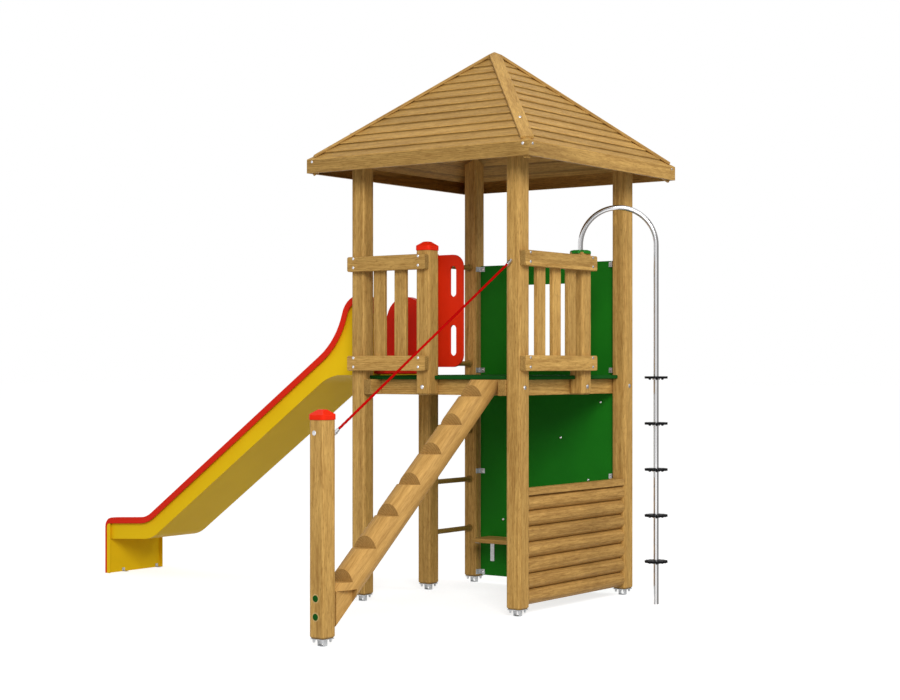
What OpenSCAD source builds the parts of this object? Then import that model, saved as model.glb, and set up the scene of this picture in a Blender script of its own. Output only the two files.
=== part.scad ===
// Wooden play tower with a pyramid roof, a slide, a rung ladder, a climbing wall,
// a fireman's pole with foot discs and a stepped log with a rope handrail.
// The tower stands on six ground posts; +X is the half-log side, -Y is the stepped-log side.
// The model's own origin is on the ground, under the centre of everything the tower covers.

/* [Posts] */
// Distance between the centres of two corner posts
post_pitch = 1250; // [1100:10:1500]
// Width of a square post
post_w = 109; // [90:1:120]
// Rounding of a post's long edges
post_r = 20; // [6:1:24]
// Height of the steel feet between the ground and the wood
foot_h = 45; // [35:1:80]
// Width of a steel foot over its two uprights
foot_w = 46; // [36:1:70]
// Depth of a steel foot
foot_d = 33; // [25:1:60]
// Distance of the slide's side post from the tower's centre line
slide_post_y = 85; // [70:1:140]
// Distance of the entry newel from the tower's centre line, towards the slide
entry_newel_x = 85; // [60:1:120]
// Distance of the pole newel from the tower's centre line
pole_newel_y = 95; // [60:1:130]

/* [Platform] */
// Height of the floor's upper face above the ground
deck_h = 1494; // [1300:1:1600]
// Thickness of the floor panel
floor_t = 25; // [18:1:36]
// Height of the beams under the floor
beam_h = 100; // [80:5:140]
// Thickness of the beams under the floor
beam_t = 60; // [45:1:80]
// Distance from the post centre lines to the floor's edge
floor_inset = 3; // [0:1:15]

/* [Guard rails] */
// Height of a rail board
rail_h = 98; // [80:1:120]
// Thickness of a rail board
rail_t = 44; // [25:1:45]
// Height of the lower rail's lower edge above the floor
rail_low = 30; // [15:1:40]
// Height of the upper rail's upper edge above the floor
rail_top = 779; // [700:1:850]
// Width of an upright slat
slat_w = 95; // [80:1:110]
// Thickness of an upright slat
slat_t = 28; // [18:1:34]
// Distance of a slat's ends from the rails' outer edges
slat_short = 12; // [0:1:30]
// Number of slats beside the entry
slats_front = 2; // [2:1:3]
// Number of slats beside the pole
slats_side = 3; // [3:1:4]
// Height of a newel's top above the floor
newel_top = 805; // [760:5:850]

/* [Caps] */
// Overhang of a cap on each side of its post
cap_over = 4.5; // [1:0.5:10]
// Height of a cap's upright band
cap_band = 27; // [20:1:40]
// Height of a cap's sloped top
cap_rise = 31; // [15:1:40]
// Width of a cap's flat top
cap_flat = 37; // [20:1:60]

/* [Roof] */
// Distance from the centre line to the outer face of an eaves board
eave_r = 886; // [820:1:960]
// Height of the eaves board's lower edge
eave_z = 2824; // [2700:1:2900]
// Height of an eaves board
eave_h = 83; // [70:1:110]
// Thickness of an eaves board
eave_t = 22; // [16:1:30]
// Height of the roof boards' underside at the tip
apex_z = 3635; // [3450:1:3800]
// Height of the eaves boards' upper edge above the roof boards' underside
eave_over = 20.5; // [0:0.5:30]
// Height of a roof board that stays uncovered, along the slope
row = 91.4; // [70:0.1:130]
// Thickness of a roof board at its lower edge
roof_t = 24; // [18:1:30]
// Thickness of a roof board at its upper edge
roof_t_top = 14; // [10:1:16]
// Width of the cover board on a hip
hip_w = 84; // [60:1:100]
// Thickness of the cover board on a hip
hip_t = 20; // [14:1:26]
// Width of a hip rafter
rafter_w = 45; // [35:1:60]
// Depth of a hip rafter
rafter_d = 80; // [60:1:100]

/* [Slide] */
// Width of the yellow outer shell
shell_w = 490; // [440:5:500]
// Distance by which a rolled lip stands out from the shell's side
lip_out = 25; // [18:1:30]
// Gap between the walls of the shell and the chute
wall_gap = 16; // [8:1:24]
// Wall thickness of both shells
skin = 8; // [6:1:10]
// Slope of the sliding surface in degrees
slide_angle = 35; // [32:1:38]
// Slope of the run-out in degrees
runout_angle = 3; // [2:1:5]
// Length of the run-out from the foot of the slope to the front
runout_l = 470; // [350:5:700]
// Depth of the shell measured square to the slope
slide_depth = 149; // [130:1:180]
// Height of the lip's turned-down edge
lip_h = 45; // [25:1:50]
// Height of the run-out rim at its front end
runout_rim = 416; // [380:1:460]
// How much deeper the shell is at its front end
runout_deeper = 12; // [0:1:20]
// Radius of the arched cheek at the top
cheek_r = 165; // [140:1:180]
// Height of the cheek's top above the floor
cheek_h = 540; // [480:1:600]
// Radius of the rim's hollow bend below the cheek
bend_r = 520; // [400:10:640]
// Thickness of the front apron
apron_t = 20; // [14:1:26]
// Depth of the sides behind the front apron
apron_side = 30; // [20:1:50]
// Distance from the tower's centre to where the slope begins
slope_start = 1008.5; // [960:0.5:1060]
// Radius of the underside's bend at the top
low_bend_r = 350; // [250:10:420]
// Radius of the underside's bend above the run-out
low_knee_r = 260; // [200:10:340]
// Radius of the rim's bend above the run-out
knee_r = 225; // [150:5:300]
// Radius of the rim's front corner
nose_r = 70; // [55:1:90]

/* [Climbing wall] */
// Thickness of the wall panels
panel_t = 19; // [15:1:25]
// Gap between a panel and a post
panel_gap = 9; // [5:1:15]
// Height of the panel's lower edge above the ground
panel_z0 = 56; // [50:1:120]
// Width of the window
window_w = 530; // [400:10:640]
// Height of the window's sill above the floor
window_sill = 96; // [60:1:160]
// Height of the window's head above the floor
window_head = 634; // [560:1:680]
// Rounding of the window's corners
window_r = 30; // [15:1:60]
// Height of a steel bracket
bracket_h = 35; // [30:1:60]
// Length of a bracket's leg on the post
bracket_post = 45; // [30:1:60]
// Length of a bracket's leg towards the panel
bracket_panel = 48; // [20:1:60]
// Thickness of a bracket
bracket_t = 4; // [3:0.5:6]
// Distance of the top and bottom brackets' middles from the panel's ends
bracket_in = 24; // [20:1:60]
// Height of the middle of the brackets above the floor
bracket_over = 32; // [20:1:120]

/* [Bench] */
// Height of the seat
bench_h = 340; // [300:5:400]
// Depth of the seat
bench_d = 220; // [180:5:260]
// Thickness of the seat
bench_t = 30; // [25:1:40]
// Length of the seat
bench_l = 970; // [800:10:1080]

/* [Half-log wall] */
// Height of one half log
halflog_h = 98; // [80:1:110]
// Number of half logs
halflogs = 7; // [5:1:8]
// Height of the lowest edge above the ground
halflog_z0 = 62; // [55:1:120]
// Height of the board on top
cap_board_h = 46; // [35:1:60]

/* [Rung ladder] */
// Diameter of a rung
rung_d = 35; // [28:1:40]
// Height of the lowest rung
rung_z = 394; // [300:2:450]
// Distance between two rungs
rung_pitch = 350; // [280:5:360]
// Depth of a rung's hole in a post
rung_in = 35; // [25:1:45]

/* [Grab panel] */
// Length of the part that stands out from its post
grab_out = 200; // [150:5:240]
// Width of a hand slot
grab_slot = 56; // [40:1:70]
// Length of a hand slot
grab_slot_l = 213; // [150:1:260]
// Distance of a slot's middle from the panel's end
grab_slot_z = 185; // [140:1:190]
// Distance of a slot's middle from the panel's outer edge
grab_slot_x = 83; // [60:1:100]

/* [Pole] */
// Outer diameter of the tube
pole_d = 33.7; // [30:0.1:42]
// Wall of the tube
pole_wall = 2.6; // [2:0.1:4]
// Distance of the pole from its newel along X
pole_dx = 434; // [380:1:500]
// Distance of the pole from its newel along Y
pole_dy = 237; // [150:1:300]
// Height above the newel's top where the bend begins
pole_bend_over = 45; // [20:1:200]
// Diameter of a foot disc
disc_d = 150; // [120:1:170]
// Thickness of a foot disc
disc_t = 15; // [8:1:20]
// Number of foot discs
discs = 5; // [4:1:5]
// Distance between two discs
disc_pitch = 300; // [250:5:320]
// Height of the lowest disc's middle
disc_z = 280.5; // [250:0.5:320]

/* [Stepped log] */
// Diameter of the log
log_d = 179; // [150:1:190]
// Slope of the log in degrees
log_angle = 39.8; // [36:0.1:42]
// Distance of the log's axis from the tower's centre line
log_x = 398; // [360:1:430]
// Height of the log's axis where it meets its post
log_low_z = 205; // [180:1:300]
// Height of the log's post above the ground
log_post_h = 1256; // [1150:1:1300]
// Length of the flats that narrow the log beside its post
log_flat_l = 138; // [80:1:200]
// Height of the flats' upper edge above the ground
log_flat_z = 303; // [260:1:340]
// Height between two steps
step_rise = 170.5; // [150:0.5:190]
// Number of steps
steps = 7; // [6:1:7]
// Height of the floor above the top step
step_down = 127; // [100:1:170]
// Distance of the top step's back edge from the posts' inner faces
step_out = 235; // [200:1:280]
// Height of a step's back edge above the log's axis
step_over = 47; // [25:1:60]

/* [Rope] */
// Diameter of the handrail rope
rope_d = 16; // [14:1:22]
// Depth of the rope's lower fitting below its post's top
rope_down = 83; // [50:1:150]
// Height of the rope's upper fitting above the floor
rope_up = 715; // [600:1:760]

/* [Hidden] */
$fn = 48;
fit = 0.3;

half = post_pitch / 2;
pw = post_w / 2;
in_face = half - pw;
out_face = half + pw;
beam_z1 = deck_h - floor_t;
beam_z0 = beam_z1 - beam_h;
beam_in = in_face - beam_t;
newel_z1 = deck_h + newel_top;
rail_z0 = deck_h + rail_low;
rail_z1 = deck_h + rail_top;
entry_x = -entry_newel_x;
pole_x = half + pole_dx;
pole_y = pole_newel_y + pole_dy;
pole_bend_z = newel_z1 + pole_bend_over;
cap_w = post_w + 2 * cap_over;
panel_z1 = rail_z1;
wall_x = in_face - panel_gap;
wall_y0 = half - panel_t / 2;
wall_y1 = half + panel_t / 2;

// Where the slide and the stepped log end
slide_w = shell_w + 2 * lip_out;
runout_low = runout_rim - runout_deeper - slide_depth / cos(runout_angle);
slide_reach = slope_start + runout_l + (deck_h - runout_low - runout_l * tan(runout_angle)) / tan(slide_angle);
step_y = -in_face - step_out;
step_z = deck_h - step_down;
log_end = step_y - (step_z - step_over - log_low_z) / tan(log_angle);
log_post_y = pw - log_end;

// What the whole tower covers, which sets the origin
x_min = -slide_reach;
x_max = pole_x + disc_d / 2;
y_min = -log_post_y - cap_w / 2;
y_max = eave_r;
ref = [(x_min + x_max) / 2, (y_min + y_max) / 2, 0];

module place() {
    translate(-ref) children();
}

module round_rect(w, d, r) {
    square([w - 2 * r, d], center = true);
    square([w, d - 2 * r], center = true);
    for (x = [-1, 1], y = [-1, 1])
        translate([x * (w / 2 - r), y * (d / 2 - r)]) circle(r);
}

// A box from its lowest to its highest corner
module span(a, b) {
    translate(a) cube(b - a);
}

module post(x, y, z0, z1) {
    translate([x, y, z0]) linear_extrude(z1 - z0) round_rect(post_w, post_w, post_r);
}

// The underside of the roof boards rises from the eaves' outer faces to the tip
eave_z1 = eave_z + eave_h;
roof_z0 = eave_z1 - eave_over;
roof_slope = atan((apex_z - roof_z0) / eave_r);
hip_slope = atan((apex_z - roof_z0) / (eave_r * sqrt(2)));
hip_len = eave_r * sqrt(2) / cos(hip_slope);
board_gap = 0.4;

// Puts a piece on the hip at angle a: X runs up the hip from the eaves' corner, Z stands square to it
module on_hip(a) {
    rotate([0, 0, a]) translate([eave_r * sqrt(2), 0, roof_z0]) rotate([0, hip_slope, 0])
        rotate([0, 0, 180]) children();
}

// A hip rafter lies just under the boards of two faces, and the posts are cut to its underside
rafter_drop = rafter_w / 2 / sqrt(2) * tan(roof_slope) * cos(hip_slope) + fit;
rafter_low = rafter_drop + rafter_d;
module corner_post(sx, sy) {
    difference() {
        post(sx * half, sy * half, foot_h, apex_z);
        on_hip(atan2(sy, sx)) translate([0, -post_w, -rafter_low - fit]) cube([hip_len, 2 * post_w, hip_len]);
    }
}

wood = "#c49856";
wood_dark = "#8a6a3a";
green = "#1a6a1e";
red = "#de2a12";
yellow = "#e0b81c";
steel = "#c8ccd0";

// Holes for the rungs and guard bars in the two posts of the ladder bay
bar_down = 12;
bar_z = [rail_z0 + rail_h / 2, rail_z1 - bar_down];
rung_zs = [for (i = [0:2]) rung_z + i * rung_pitch];
module rung_holes(face_y, dir) {
    for (z = concat(rung_zs, bar_z))
        translate([-half, face_y, z]) rotate([dir * 90, 0, 0])
            translate([0, 0, -1]) cylinder(d = rung_d + 2 * fit, h = rung_in + fit + 1);
}

module post_front() { color(wood) place() corner_post(1, -1); }
module post_left() { color(wood) place() corner_post(-1, -1); }
module post_right() { color(wood) place() corner_post(1, 1); }
module post_back() {
    color(wood) place() difference() {
        corner_post(-1, 1);
        rung_holes(in_face, -1);
    }
}
module slide_side_post() {
    color(wood) place() difference() {
        post(-half, slide_post_y, foot_h, newel_z1);
        rung_holes(slide_post_y + pw, 1);
    }
}
module entry_newel() { color(wood) place() post(entry_x, -half, beam_z0, newel_z1); }
module pole_newel() { color(wood) place() post(half, pole_newel_y, beam_z0, newel_z1); }
module log_post() { color(wood) place() post(log_x, -log_post_y, foot_h, log_post_h); }

// Steel foot: a plate under the post on two upright flats
ground_posts = [[half, -half], [-half, -half], [half, half], [-half, half],
                [-half, slide_post_y], [log_x, -log_post_y]];
foot_plate_w = post_w - 14;
foot_t = 5;
module post_foot() {
    translate([0, 0, foot_h - foot_t / 2]) cube([foot_plate_w, foot_plate_w, foot_t], center = true);
    translate([-foot_w / 2, -foot_d / 2, 0]) difference() {
        cube([foot_w, foot_d, foot_h - foot_t]);
        translate([foot_t, -1, foot_t]) cube([foot_w - 2 * foot_t, foot_d + 2, foot_h]);
    }
}
module post_feet() { color(steel) place() for (p = ground_posts) translate([p[0], p[1], 0]) post_foot(); }

// Cap: an upright band under a low hipped top
module cap() {
    intersection() {
        linear_extrude(cap_band + cap_rise) round_rect(cap_w, cap_w, post_r + cap_over);
        rotate([90, 0, 0]) linear_extrude(cap_w, center = true) cap_side();
        rotate([90, 0, 90]) linear_extrude(cap_w, center = true) cap_side();
    }
}
module cap_side() {
    polygon([[-cap_w / 2, 0], [cap_w / 2, 0], [cap_w / 2, cap_band], [cap_flat / 2, cap_band + cap_rise],
             [-cap_flat / 2, cap_band + cap_rise], [-cap_w / 2, cap_band]]);
}
module post_caps() {
    color(red) place() {
        translate([entry_x, -half, newel_z1]) cap();
        translate([-half, slide_post_y, newel_z1]) cap();
        translate([log_x, -log_post_y, log_post_h]) cap();
    }
}

// Beams along Y on the posts' inner faces, and joists between them
module side_beams() {
    color(wood) place() for (s = [-1, 1])
        span([s > 0 ? beam_in : -in_face, -out_face, beam_z0], [s > 0 ? in_face : -beam_in, wall_y0, beam_z1]);
}
module cross_joists() {
    color(wood) place() for (y = [-in_face, -beam_t / 2, in_face - beam_t])
        span([-beam_in, y, beam_z0], [beam_in, y + beam_t, beam_z1]);
}

floor_r = half - floor_inset;
module floor_panel() {
    color(green) place() difference() {
        span([-floor_r, -floor_r, beam_z1], [floor_r, wall_y0, deck_h]);
        for (p = [[half, -half], [-half, -half], [half, half], [-half, half], [-half, slide_post_y],
                  [entry_x, -half], [half, pole_newel_y]])
            translate([p[0], p[1], beam_z1 - 1]) linear_extrude(floor_t + 2)
                square(post_w + 2 * fit, center = true);
    }
}

// Guard rails: two boards on the posts' outer faces with upright slats behind them
module rail_pair(len) {
    for (z = [rail_z0, rail_z1 - rail_h]) translate([0, 0, z]) cube([len, rail_t, rail_h]);
}
slat_z0 = rail_z0 + slat_short;
slat_z1 = rail_z1 - slat_short;
module slats(n, len) {
    gap = (len - n * slat_w) / (n + 1);
    for (i = [0:n - 1])
        translate([gap + i * (slat_w + gap), 0, slat_z0]) cube([slat_w, slat_t, slat_z1 - slat_z0]);
}
module front_rails() {
    color(wood) place() translate([-out_face, -out_face - rail_t, 0]) rail_pair(entry_x + pw + out_face);
}
module front_slats() {
    color(wood) place() translate([-in_face, -out_face, 0]) slats(slats_front, entry_x - pw + in_face);
}
module side_rails() {
    color(wood) place() translate([out_face + rail_t, -out_face, 0]) rotate([0, 0, 90])
        rail_pair(pole_newel_y + pw + out_face);
}
module side_slats() {
    color(wood) place() translate([out_face, -in_face, 0]) rotate([0, 0, 90])
        slats(slats_side, pole_newel_y - pw + in_face);
}

// Roof: a frame of eaves boards, hip rafters, lapped boards on four faces and a cover board on each hip
module roof_eaves() {
    color(wood) place() translate([0, 0, eave_z]) linear_extrude(eave_h) difference() {
        square(2 * eave_r, center = true);
        square(2 * (eave_r - eave_t), center = true);
    }
}

// The cover boards lie on the outer edges of the lapped boards, which are planed off under them
hip_z0 = (roof_t / cos(roof_slope) - hip_w / 2 / sqrt(2) * tan(roof_slope)) * cos(hip_slope) + fit;
hip_z1 = hip_z0 + hip_t;
hip_start = (hip_w / 2 + hip_z1 * sin(hip_slope)) / cos(hip_slope);
module hip_strip(a, w, x0, z0, z1) {
    on_hip(a) translate([x0, -w / 2, z0]) cube([hip_len, w, z1 - z0]);
}
// The quarter of the plan on both sides of a hip
module hip_quarter(a) {
    rotate([0, 0, a]) linear_extrude(2 * apex_z)
        polygon([[board_gap, 0], [2 * eave_r, -2 * eave_r], [2 * eave_r, 2 * eave_r]]);
}

// One face, on the -Y side: the boards rest on the eaves and stop flush with their outer faces
lap_r = 4;
module roof_board(i) {
    polygon([[i * row, 0], [(i + 1) * row - board_gap, 0], [(i + 1) * row - board_gap, roof_t_top],
             [i * row + lap_r, roof_t], [i * row, roof_t - lap_r]]);
}
module roof_face() {
    difference() {
        intersection() {
            translate([0, -eave_r, roof_z0]) rotate([roof_slope, 0, 0]) rotate([90, 0, 90])
                for (i = [0:ceil(eave_r / cos(roof_slope) / row) - 1])
                    linear_extrude(2 * eave_r, center = true) roof_board(i);
            linear_extrude(2 * apex_z)
                polygon([[0, -board_gap], [board_gap - eave_r, -eave_r], [eave_r - board_gap, -eave_r]]);
        }
        linear_extrude(eave_z1 + fit) square(2 * eave_r + 2, center = true);
        for (a = [225, 315]) hip_strip(a, hip_w + 2 * fit, hip_start - fit, hip_z0 - fit, hip_len);
    }
}
module roof_front() { color(wood) place() roof_face(); }
module roof_right() { color(wood) place() rotate([0, 0, 90]) roof_face(); }
module roof_back() { color(wood) place() rotate([0, 0, 180]) roof_face(); }
module roof_left() { color(wood) place() rotate([0, 0, 270]) roof_face(); }
module roof_hips() {
    color(wood) place() for (a = [45, 135, 225, 315]) intersection() {
        hip_strip(a, hip_w, hip_start, hip_z0, hip_z1);
        hip_quarter(a);
    }
}
module roof_rafters() {
    color(wood) place() for (a = [45, 135, 225, 315]) intersection() {
        hip_strip(a, rafter_w, 0, -rafter_low, -rafter_drop);
        hip_quarter(a);
        linear_extrude(apex_z) square(2 * (eave_r - eave_t), center = true);
    }
}

// Slide: its outline lies in a plane seen from the -Y side, u runs outwards from the tower's centre
function arc(c, r, a0, a1, n) =
    [for (i = [0:n]) let (a = a0 + (a1 - a0) * i / n) c + r * [cos(a), sin(a)]];
slide_y = (-in_face + slide_post_y - pw) / 2;
slope_dir = [cos(slide_angle), -sin(slide_angle)];
slope_nrm = [sin(slide_angle), cos(slide_angle)];
run_dir = [cos(runout_angle), -sin(runout_angle)];
run_nrm = [sin(runout_angle), cos(runout_angle)];
// Turning point of two straight lines, each a point and a direction
function cross2(a, b) = a[0] * b[1] - a[1] * b[0];
function meet(p, d, q, e) = p + d * (cross2(q - p, e) / cross2(d, e));
// Tangent arc of radius r in the corner k, from direction a to b, that turns upwards (s = 1) or down (s = -1)
function corner(k, a, b, r, s, n) =
    let (t = r * tan(abs(a - b) / 2), d = [cos(a), sin(a)], c = k - t * d + s * r * [-sin(a), cos(a)])
    arc(c, r, a - s * 90, b - s * 90, n);

// The underside: flat on the floor, down the slope, then the run-out; k is the height above it
slope_low = [slope_start, deck_h];
run_low = [slide_reach, runout_low];
function low_knee(k) = meet(slope_low + k * slope_nrm, slope_dir, run_low + k * run_nrm, run_dir);
function under(k, x0, x1) = concat(
    [[x0, deck_h + k]],
    corner(slope_low + [k * tan(slide_angle / 2), k], 0, -slide_angle, low_bend_r + k, -1, 6),
    corner(low_knee(k), -slide_angle, -runout_angle, low_knee_r - k, 1, 6),
    [meet(low_knee(k), run_dir, [x1, 0], [0, 1])]);

// The rim runs beside the slope at the shell's depth, under an arched cheek at the top; k is the depth
// inside it and f the distance behind its front
rim_slope = slope_low + slope_nrm * slide_depth;
rim_front = [slide_reach, runout_rim];
cheek_c = [in_face + 150, deck_h + cheek_h - cheek_r];
cheek_t = (cheek_c - rim_slope) * slope_dir;
cheek_n = (cheek_c - rim_slope) * slope_nrm;
bend_t = cheek_t + sqrt(pow(bend_r + cheek_r, 2) - pow(bend_r - cheek_n, 2));
bend_c = rim_slope + slope_dir * bend_t + slope_nrm * bend_r;
touch = atan2(bend_c[1] - cheek_c[1], bend_c[0] - cheek_c[0]);
slide_in = cheek_c[0] - cheek_r;
function rim_knee(k) = meet(rim_slope - k * slope_nrm, slope_dir, rim_front - k * run_nrm, run_dir);
function rim_nose(k, f) = meet(rim_knee(k), run_dir, [slide_reach - f, 0], [0, 1]);
function rim(k, f, z0, z1) = concat(
    [[slide_in + k, z0]],
    arc(cheek_c, cheek_r - k, 180, touch, 16),
    arc(bend_c, bend_r + k, touch + 180, 270 - slide_angle, 8),
    corner(rim_knee(k), -slide_angle, -runout_angle, knee_r + k, 1, 6),
    corner(rim_nose(k, f), -runout_angle, -90, nose_r - max(k, f), -1, 6),
    [[slide_reach - f, z1]]);
function turned(p) = [for (i = [len(p) - 1:-1:0]) p[i]];

// Extrudes an outline across the slide, from y0 to y1 beside its middle
module across(y0, y1) {
    translate([0, slide_y + y1, 0]) rotate([90, 0, 0]) mirror([1, 0, 0]) linear_extrude(y1 - y0) children();
}
module both_sides(a, b) {
    across(a, b) children();
    across(-b, -a) children();
}
apron_in = slide_reach - apron_t;
chute_w = shell_w - 4 * skin - 2 * wall_gap;
chute_low = skin + fit;
below = -slide_depth;
module slide_liner() {
    color(red) place() difference() {
        across(-slide_w / 2, slide_w / 2) polygon(concat(rim(0, 0, deck_h + chute_low, 0), [[apron_in, 0]],
            turned(under(chute_low, slide_in, apron_in))));
        // The open chute
        across(-chute_w / 2, chute_w / 2) polygon(concat([[0, apex_z], [2 * slide_reach, apex_z]],
            turned(under(chute_low + skin, 0, 2 * slide_reach))));
        // The hollow between each inner wall and its lip, and the lip's open underside
        both_sides(chute_w / 2 + skin, slide_w / 2 - skin) polygon(rim(skin, skin, below, below));
        both_sides(slide_w / 2 - lip_out, slide_w) polygon(rim(lip_h, apron_t, below, below));
    }
}
shell_top = skin + fit;
shell_end = apron_in - fit;
// The stretch of the front apron's back from its face to the depth d, under the lip
module apron_back(d) {
    intersection() {
        polygon(rim(lip_h + fit, apron_t + fit, below, below));
        translate([shell_end - d, 0]) square([d, runout_rim]);
    }
}
module slide_shell() {
    color(yellow) place() difference() {
        union() {
            across(-shell_w / 2, shell_w / 2) intersection() {
                polygon(rim(shell_top, shell_top, below, below));
                polygon(concat([[slide_in, apex_z], [shell_end, apex_z]],
                    turned(under(0, slide_in, shell_end))));
            }
            across(-slide_w / 2, slide_w / 2) apron_back(skin);
            both_sides(slide_w / 2 - skin, slide_w / 2) apron_back(apron_side);
        }
        across(skin - shell_w / 2, shell_w / 2 - skin) polygon(concat([[0, apex_z], [2 * slide_reach, apex_z]],
            turned(under(skin, 0, 2 * slide_reach))));
    }
}
slide_foot_y = [-115, 225];
slide_foot = [45, 25, 28];
slide_foot_t = 5;
module slide_feet() {
    color(steel) place() for (y = slide_foot_y)
        translate([-(shell_end - skin - fit), slide_y + y, 0]) {
            translate([0, -slide_foot[1] / 2, 0]) cube([slide_foot[0], slide_foot[1], slide_foot_t]);
            translate([0, -slide_foot[1] / 2, 0]) cube([slide_foot_t, slide_foot[1], slide_foot[2]]);
        }
}

// Climbing wall between the two back posts, with a window above the floor
module climbing_wall() {
    color(green) place() difference() {
        span([-wall_x, wall_y0, panel_z0], [wall_x, wall_y1, panel_z1]);
        translate([0, wall_y1 + 1, deck_h + (window_sill + window_head) / 2]) rotate([90, 0, 0])
            linear_extrude(panel_t + 2) round_rect(window_w, window_head - window_sill, window_r);
    }
}
// Holds on the outer face: x and height of each bolt
holds = [[-363, 463], [354, 771], [127, 1058], [455, 1309],
         [-180, 760], [-420, 1010], [-90, 1340], [60, 470]];
hold_w = 90;
hold_h = 120;
hold_t = 35;
module hold() {
    rotate([-90, 0, 0]) intersection() {
        translate([0, 0, -hold_t]) sphere(2 * hold_t);
        translate([-hold_w / 2, -hold_h / 2, fit]) cube([hold_w, hold_h, hold_t]);
    }
}
module climbing_holds() {
    color(red) place() for (h = holds) translate([h[0], wall_y1, h[1]]) hold();
}
module bracket(z) {
    translate([0, 0, z - bracket_h / 2]) {
        cube([bracket_t, bracket_post, bracket_h]);
        cube([bracket_panel, bracket_t, bracket_h]);
    }
}
bracket_low = panel_z0 + bracket_in;
bracket_floor = deck_h + bracket_over;
bracket_zs = [bracket_low, (bracket_low + bracket_floor) / 2, bracket_floor, panel_z1 - bracket_in];
module wall_brackets() {
    color(steel) place() for (z = bracket_zs)
        for (m = [0, 1]) mirror([m, 0, 0])
            translate([-in_face, wall_y0, 0]) mirror([0, 1, 0]) bracket(z);
}

// Bench inside, against the climbing wall
module bench_seat() {
    color(wood) place() span([-bench_l / 2, wall_y0 - bench_d, bench_h - bench_t], [bench_l / 2, wall_y0, bench_h]);
}
bench_leg = 150;
bench_leg_w = 34;
bench_leg_t = 5;
bench_end = 30;
module bench_brackets() {
    color(steel) place() for (x = [bench_end - bench_l / 2, 0, bench_l / 2 - bench_end])
        translate([x - bench_leg_w / 2, wall_y0, bench_h - bench_t]) {
            translate([0, -bench_leg_t, -bench_leg]) cube([bench_leg_w, bench_leg_t, bench_leg]);
            translate([0, bench_end - bench_d, -bench_leg_t]) cube([bench_leg_w, bench_d - bench_end, bench_leg_t]);
        }
}

// Half logs between the two posts of the pole side, round faces outwards
halflog_in = 5;
batten_w = 45;
halflog_x = out_face - halflog_h / 2 - halflog_in;
halflog_z1 = halflog_z0 + halflogs * halflog_h;
module half_logs() {
    color(wood) place() for (i = [0:halflogs - 1])
        translate([halflog_x, 0, halflog_z0 + (i + 0.5) * halflog_h]) rotate([90, 0, 0])
            linear_extrude(2 * in_face, center = true) intersection() {
                circle(d = halflog_h - board_gap);
                translate([0, -halflog_h]) square(2 * halflog_h);
            }
}
module half_log_cap() {
    color(wood) place()
        span([halflog_x, -in_face, halflog_z1], [out_face - halflog_in, in_face, halflog_z1 + cap_board_h]);
}
module half_log_battens() {
    color(wood) place() for (y = [-in_face, in_face - batten_w])
        span([halflog_x - batten_w, y, halflog_z0], [halflog_x, y + batten_w, halflog_z1 + cap_board_h]);
}

// Rungs and guard bars of the ladder bay
bar_y0 = slide_post_y + pw - rung_in;
bar_y1 = in_face + rung_in;
module bar(z) {
    translate([-half, bar_y1, z]) rotate([90, 0, 0]) cylinder(d = rung_d, h = bar_y1 - bar_y0);
}
module ladder_rungs() { color(wood_dark) place() for (z = rung_zs) bar(z); }
module guard_bars() { color(wood_dark) place() for (z = bar_z) bar(z); }

// Panel with two hand slots beside the slide
grab_t = 19;
grab_y = slide_post_y + pw;
grab_z0 = deck_h + 54;
grab_z1 = newel_z1 + 28;
grab_x0 = -out_face + 15;
grab_x1 = -in_face + grab_out;
grab_r = 86;
grab_slot_r = 1;
grab_play = 2;
module grab_outline() {
    difference() {
        union() {
            translate([grab_x0, grab_z0]) square([grab_x1 - grab_r - grab_x0, grab_z1 - grab_z0]);
            translate([grab_x0, grab_z0 + grab_r]) square([grab_x1 - grab_x0, grab_z1 - grab_z0 - 2 * grab_r]);
            for (z = [grab_z0 + grab_r, grab_z1 - grab_r]) translate([grab_x1 - grab_r, z]) circle(grab_r);
        }
        for (z = [grab_z0 + grab_slot_z, grab_z1 - grab_slot_z])
            translate([grab_x1 - grab_slot_x, z]) round_rect(grab_slot, grab_slot_l, grab_slot / 2 - grab_slot_r);
        for (z = bar_z) translate([-half, z]) circle(d = rung_d + 2 * grab_play);
    }
}
module grab_panel() {
    color(red) place() difference() {
        translate([0, grab_y + grab_t, 0]) rotate([90, 0, 0]) linear_extrude(grab_t) grab_outline();
        // Room for the cap on the post that carries the panel
        translate([-half, slide_post_y, newel_z1 - fit])
            linear_extrude(grab_z1) square(cap_w + 2 * fit, center = true);
    }
}

// Pole: one bent tube from the newel's top to the ground
pole_r = norm([pole_dx, pole_dy]) / 2;
pole_turn = atan2(pole_dy, pole_dx);
collar_h = 26;
hub_h = 8;
hub_w = 14;
module ring() {
    difference() {
        circle(d = pole_d);
        circle(d = pole_d - 2 * pole_wall);
    }
}
module pole_tube() {
    color(steel) place() translate([half, pole_newel_y, 0]) rotate([0, 0, pole_turn]) {
        translate([0, 0, newel_z1 + fit]) linear_extrude(pole_bend_z - newel_z1 - fit) ring();
        translate([2 * pole_r, 0, 0]) linear_extrude(pole_bend_z) ring();
        translate([pole_r, 0, pole_bend_z]) rotate([90, 0, 0]) rotate_extrude(angle = 180) translate([pole_r, 0]) ring();
    }
}
module disc(d, t, n) {
    difference() {
        union() {
            cylinder(d = d, h = t, center = true);
            translate([0, 0, -t / 2 - hub_h]) cylinder(d = pole_d + hub_w, h = t / 2 + hub_h);
        }
        for (i = [0:n - 1]) rotate([0, 0, (i + 0.5) * 360 / n]) translate([d / 2 + 4, 0, 0])
            cylinder(r = 11, h = 3 * t, center = true);
        cylinder(d = pole_d + 2 * fit, h = d, center = true);
    }
}
module pole_discs() {
    color("#1c1c1e") place() for (i = [0:discs - 1])
        translate([pole_x, pole_y, disc_z + i * disc_pitch]) disc(disc_d, disc_t, 14);
}
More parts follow.
